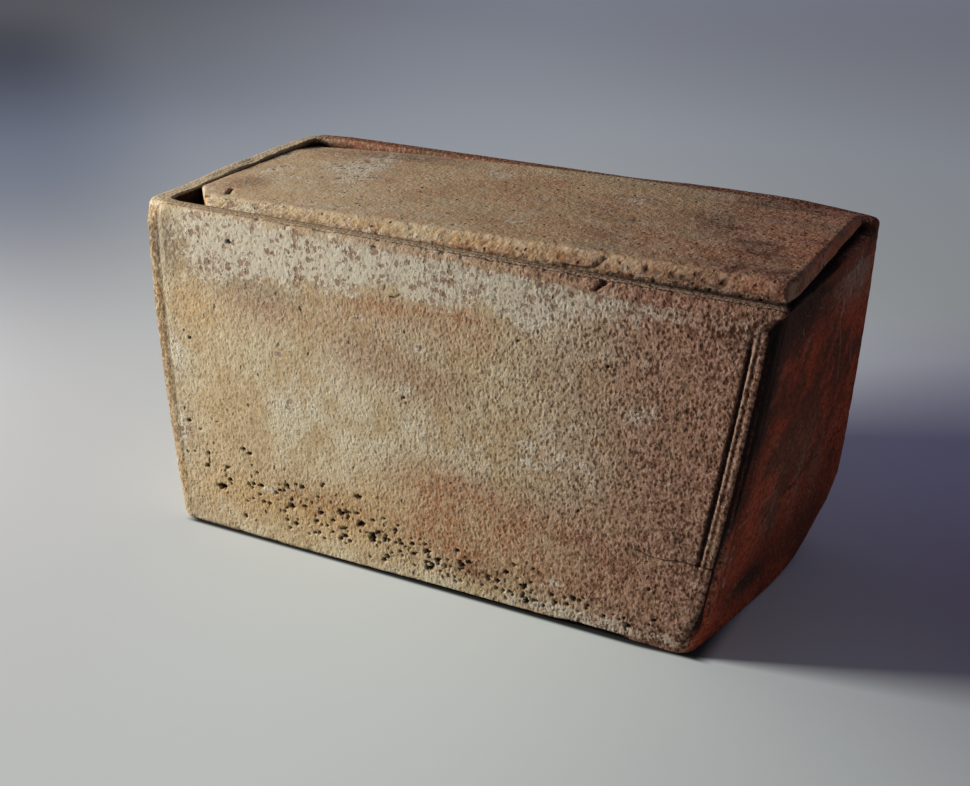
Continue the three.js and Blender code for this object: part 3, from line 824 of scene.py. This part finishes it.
lidSettings = {
    "voxel": 2.2,
    "mostTriangles": 190000,
    "unevenness": 0.6,
    "leftEnd": -302,
    "length": 618,
    "bevelFoot": -127,
    "bevelWide": 28,
    "bevelNarrow": 6,
    "topPale": (
        (-190, 40, 36, 50, 0.8), (-270, 5, 18, 20, 0.5), (-230, -20, 30, 16, 0.4), (45, -70, 14, 10, 0.5),
        (112, 42, 8, 8, 0.6), (-110, -75, 30, 14, 0.4), (5, 90, 14, 40, 0.25), (-20, -90, 10, 8, 0.5),
    ),
    "topRust": (
        (-80, -12, 9, 8, 0.9), (-62, -10, 6, 14, 0.9), (-268, -38, 14, 10, 0.9), (-290, 20, 14, 40, 0.4),
        (-140, 5, 14, 14, 0.5), (-40, 60, 80, 40, 0.2), (-165, -105, 30, 6, 0.8), (-240, 80, 50, 30, 0.7),
        (-150, 96, 50, 20, 1.0), (-270, -60, 26, 30, 0.7), (60, -70, 120, 50, 0.2), (60, 20, 120, 60, 0.2),
        (-210, 96, 40, 16, 1.0), (270, -50, 30, 20, 0.8),
    ),
    "topUmber": (
        (-180, 98, 60, 16, 0.9), (-265, -48, 20, 18, 0.7), (60, 10, 40, 8, 0.4), (120, -20, 50, 10, 0.3),
        (200, 20, 30, 24, 0.8), (245, -32, 34, 6, 0.9), (272, -58, 26, 8, 0.7), (260, -95, 30, 12, 0.6),
        (230, 80, 40, 30, 0.3),
    ),
    "crack": ((214, -40), (232, -33), (246, -27), (262, -25), (276, -18)),
    "slit": ((-266, -74), (-262, -84), (-257, -93)),
    "holeLine": (190, 262, -121),  # from x, to x, y
    "notch": ((118, 343.5), (136, 344.2), (143, 345.5), (149, 349.5), (152, 354)),
    "look": {
        "draw": (0.9, 1, 1), "grain": 340, "grainHeight": 0.0009, "clumps": 130, "clumpHeight": 0.001,
        "pecks": 290, "peckDepth": 0.0003, "hollowShare": 0.04, "lean": 0, "streak": (3, 1, 1),
        "streakScale": 70, "scuffed": paint(186, 132, 98), "spots": 110, "dots": 240, "rimLines": (),
    },
}


def lidRelief(points, normals, settings):
    # as chestRelief: crownStart is the y of the bevel's upper edge, and the bevel narrows to the right
    x, y, z = points.T
    top = ease(normals[:, 2], 0.3, 0.7)
    under = ease(-normals[:, 2], 0.3, 0.8)
    along = np.clip((x - settings["leftEnd"]) / settings["length"], 0, 1)
    narrowed = along**0.6
    crownStart = settings["bevelFoot"] + settings["bevelWide"] * (1 - narrowed)
    crownStart += settings["bevelNarrow"] * narrowed
    bevel = (1 - under) * (1 - ease(y, crownStart - 3, crownStart + 4))
    sink = settings["unevenness"] * (0.5 + 0.5 * swell(points, (60, 30, 30), 5, 3)) * (1 - under)
    nearest, chance = dimples(points, (6, 5, 5), 61)
    rough = (1 - ease(nearest, 0.1, 0.7)) * chance
    sink += (0.3 + 1.2 * bevel + 0.5 * along) * rough * (1 - under)
    edge = 1 - ease(np.abs(y - crownStart), 1, 7)
    stainEdge = crownStart - 5 * along
    stainedBevel = (1 - under) * (1 - ease(y, stainEdge - 3, stainEdge + 4))
    chips = ease(swell(points, 12, 71, 3), 0.0, 0.6)
    sink += 1.3 * edge * chips * top + 1.2 * bevel * (0.5 + 0.5 * swell(points, 9, 72, 2))
    end = ease(normals[:, 0], 0.4, 0.8) * (x > 290)
    undercut = ease(x, 305, 310) * (1 - ease(z - 0.02 * y + swell(points, 18, 77), 339, 345))
    shaded = np.maximum(undercut, under * ease(x, 280, 290))
    tip = np.linalg.norm((points - (317, -116, 350)) / (9, 12, 13), axis=1)
    facet = 1 - ease(tip, 0.6, 1.0)
    sink += 5 * undercut + 2.5 * facet

    # the slit, the crack, a row of holes, the notch, and painted shade in them, under the lid's end, below
    # the crown's edge and along the lower front edge
    slit = top * (1 - ease(lineDistance(x, y, settings["slit"]), 0.8, 2.6))
    crack = top * (1 - ease(lineDistance(x, y + 2 * swell(points, 9, 73), settings["crack"]), 0.3, 1.8))
    low, high, level = settings["holeLine"]
    holes = (1 - ease(np.abs(y - level + 2 * swell(points, 30, 74)), 0.6, 2.4)) * (x > low) * (x < high)
    holes *= ease(swell(points, 7, 75), 0.0, 0.5)
    gap = (1 - ease(lineDistance(x, z, settings["notch"]), 0.5, 2.2)) * (1 - under) * (y < -118)
    # foot: the strip along the lower front edge, which rust and umber darken as painted shade of the gap to
    # the rim
    foot = (y < -119) * (1 - under) * (1 - ease(z, 341 + 2 * along, 347 + 2 * along))
    sink += 3.0 * slit + 1.0 * crack + 2.0 * holes + 1.5 * gap
    underCrownShade = 1 - ease(np.abs(y - stainEdge + swell(points, 15, 78)), 0.6, 2.2)
    underCrownShade *= ease(x, 190, 225)
    underCrownShade *= top * ease(swell(points, 14, 79), -0.5, 0.2)
    crackShade = 0.6 * crack * ease(swell(points, 20, 76), -0.3, 0.3)
    footShade = (y < -122) * (1 - ease(z, 341, 343 + 1.5 * along)) * (1 - under)
    footShade = footShade * (0.15 + 0.8 * ease(x, 120, 240))
    paintedShade = np.maximum.reduce([
        slit, crackShade, 0.8 * holes, 0.85 * gap, 0.96 * shaded, 0.75 * underCrownShade, footShade,
    ])

    # where each colour lies: ochre on the bevel, rust in clouds and zones, darker to the right
    crown = (1 - under) * (1 - stainedBevel) * (1 - end)
    warm = np.clip(0.45 + 0.6 * swell(points, (80, 34, 40), 83, 3), 0, 1)
    cloudy = ease(swell(points, (44, 22, 40), 84, 3), 0.0, 0.4)
    pale = ease(swell(points, (36, 20, 40), 85, 3), 0.1, 0.6)
    layers = {
        "relief": 1 - 0.8 * rough,
        "wearAndHighlight": np.clip(
            0.6 * edge * (1 - along) * top + 0.3 * top * (1 - along) + 0.8 * facet + 0.6 * top * pale, 0, 1),
        # the pits layer carries the painted shade
        "pits": paintedShade,
        "pocked": 0.1 + 0.3 * along,
        "rough": 0.45 + 0.4 * along + 0.3 * bevel,
        "crust": top * (zones(x, y, settings["topPale"]) * 0.8 + 0.3 * pale * (1 - along))
        + 0.25 * bevel * (1 - along) + 0.15 * top * (1 - along),
        "ochre": stainedBevel * (1.3 + 0.5 * ease(along, 0.3, 0.7)) + 0.45 * crown,
        "rust": crown * zones(x, y, settings["topRust"]) * 1.3 + 1.3 * warm**2 + 0.15 * along
        + 0.9 * stainedBevel * ease(along, 0.3, 0.8) + 0.8 * foot,
        "mauve": ease(along, 0.6, 1.0) * (0.6 * crown + 0.8 * stainedBevel + 0.3 * cloudy),
        "dirtAndShade": 0.1 + 0.6 * ease(along, 0.5, 1) + 0.25 * bevel,
        "soil": 0.6 * under + 0.6 * end + crown * (0.05 + 0.2 * ease(along, 0.65, 1)),
        "umber": crown * zones(x, y, settings["topUmber"]) * 0.8
        + crown * cloudy * (0.12 + 0.35 * ease(along, 0.5, 1))
        + 0.45 * stainedBevel * ease(along, 0.5, 1) + 0.35 * foot,
    }
    freedom = np.where(under > 0.3, 1.0, 0.0)
    return sink, layers, freedom


def makeLid(settings):
    piece = remeshed("lid", "limestone_lid", settings["voxel"])
    drawOnto(piece, "lid")
    mesh = piece.data
    points, normals = readPoints(mesh), readNormals(mesh)
    print("lid mesh", len(points))
    sink, layers, freedom = lidRelief(points, normals, settings)
    writePoints(mesh, points - normals * sink[:, None])
    writeLayers(mesh, layers)
    thinOut(piece, freedom, settings["mostTriangles"])
    stone = makeStone("lid stone", settings["look"], stoneColours, stonePatterns)
    finishPiece(piece, "lid", stone)


makeChest(chestSettings)
makeLid(lidSettings)


studioSettings = {
    "floorRadius": 9,
    # floor colours that paint light and shade, with their zones below
    "floorNear": paint(169, 171, 173),
    "floorWide": paint(217, 226, 224),
    "floorDim": paint(84, 92, 108),
    "floorShade": paint(163, 161, 170),
    "coldGlow": paint(52, 52, 78),
    "hazeGlow": paint(86, 90, 104),
    "shadowTint": paint(34, 10, 60),
    "lampZone": ((-1.75, -0.78, 0), 1.3, 2.05),  # a place, and the distances where it is 0 and 1
    "dimZone": ((-1.8, 1.0, 0), 1.5, 0.1),
    "shadeZone": ((0.78, 0.38, 0), 0.8, 0.36),
    "farZone": ((0, 0, 0), 0.8, 1.9),
    "darkZone": ((-2.9, 2.0, 0), 0.3, 2.0),
    "duskZone": ((0.6, 2.6, 0), 2.6, 0.6),
    "coldZone": ((0.36, 0.5, 0), 0.5, 0.1),
    "shadowStripLeft": (-0.302, -0.284),  # x of the painted shadow strip under the front edge: its end, and where it is full
    "shadowStripRight": (0.283, 0.262),
    "shadowStripFront": (-0.1475, -0.142),
    "keyPlace": (-1.75, -0.78, 0.86),
    "keySize": 0.55,
    "keyPower": 62,
    "keyColour": (1.0, 0.97, 0.93),
    "ambient": (0.10, 0.095, 0.12),
}


def makeFloor(settings):
    mesh = bpy.data.meshes.new("floor")
    work = bmesh.new()
    bmesh.ops.create_circle(work, cap_ends=True, radius=settings["floorRadius"], segments=64)
    work.to_mesh(mesh)
    work.free()
    floor = bpy.data.objects.new("floor", mesh)
    floor.location.z = -0.0003
    bpy.context.scene.collection.objects.link(floor)
    material = bpy.data.materials.new("floor")
    graph = Graph(material)
    place = graph.add("ShaderNodeTexCoord", {}, {}, "Object")

    def within(zone):
        centre, outside, full = settings[zone]
        sockets = {0: place, 1: centre}
        reach = graph.add("ShaderNodeVectorMath", {"operation": "DISTANCE"}, sockets, "Value")
        return graph.step(reach, outside, full)

    # painted light and shade: paler far from the lamp, which evens the light, and painted darker at the
    # sides and in the shadow
    colour = graph.mix(within("lampZone"), settings["floorNear"], settings["floorWide"])
    dim = within("dimZone")
    colour = graph.mix(dim * 0.8, colour, settings["floorDim"])
    across, deep = graph.add("ShaderNodeSeparateXYZ", {}, {0: place}, None)[:2]
    sideShade = graph.step(across + deep, -0.1, -0.6) * graph.step(deep - across, 0.6, 3.0)
    sideShade = sideShade * graph.step(deep - across, 5.0, 3.2)
    colour = graph.mix(sideShade * 0.85, colour, settings["floorDim"])
    shade = within("shadeZone")
    colour = graph.mix(shade * 0.8, colour, settings["floorShade"])
    # a painted contact shadow: the floor right under the raised lower edge of the front is painted dark
    contactShadow = graph.step(deep - graph.step(across, 0.2, 0.27) * 0.004, *settings["shadowStripFront"])
    contactShadow = contactShadow * graph.step(across, *settings["shadowStripLeft"])
    contactShadow = contactShadow * graph.step(across, *settings["shadowStripRight"]) * graph.step(deep, 0, -0.05)
    colour = graph.mix(contactShadow * 0.96, colour, (0, 0, 0, 1))
    # a painted glow that only the camera sees: the backdrop's haze far off, and a painted cold tint in the
    # shadow
    camera = graph.add("ShaderNodeLightPath", {}, {}, "Is Camera Ray")
    far = within("farZone") * within("darkZone")
    far = far * (1 - within("duskZone") * 0.5)
    glow = graph.mix(shade, settings["hazeGlow"], settings["shadowTint"])
    glow = graph.mix(camera * (far + shade * 0.3), (0, 0, 0, 1), glow)
    cold = within("coldZone")
    sockets = {
        "Base Color": colour,
        "Roughness": 0.9,
        "Specular IOR Level": 0.1,
        "Emission Color": graph.mix(camera * cold * 0.6, glow, settings["coldGlow"]),
        "Emission Strength": 1.0,
    }
    shader = graph.add("ShaderNodeBsdfPrincipled", {}, sockets)
    graph.add("ShaderNodeOutputMaterial", {}, {"Surface": shader})
    mesh.materials.append(material)


def makeStudio(settings):
    makeFloor(settings)
    lamp = bpy.data.lights.new("key", "AREA")
    lamp.shape = "SQUARE"
    lamp.size = settings["keySize"]
    lamp.energy = settings["keyPower"]
    lamp.color = settings["keyColour"]
    key = bpy.data.objects.new("key", lamp)
    key.location = settings["keyPlace"]
    key.rotation_euler = (-Vector(settings["keyPlace"])).to_track_quat("-Z", "Y").to_euler()
    bpy.context.scene.collection.objects.link(key)

    world = bpy.data.worlds.new("studio")
    bpy.context.scene.world = world
    air = Graph(world)
    shade = air.add("ShaderNodeBackground", {}, {"Color": (*settings["ambient"], 1), "Strength": 1.0})
    air.add("ShaderNodeOutputWorld", {}, {"Surface": shade})
    bpy.context.scene.view_settings.view_transform = "Standard"


makeStudio(studioSettings)
print("studio lit")
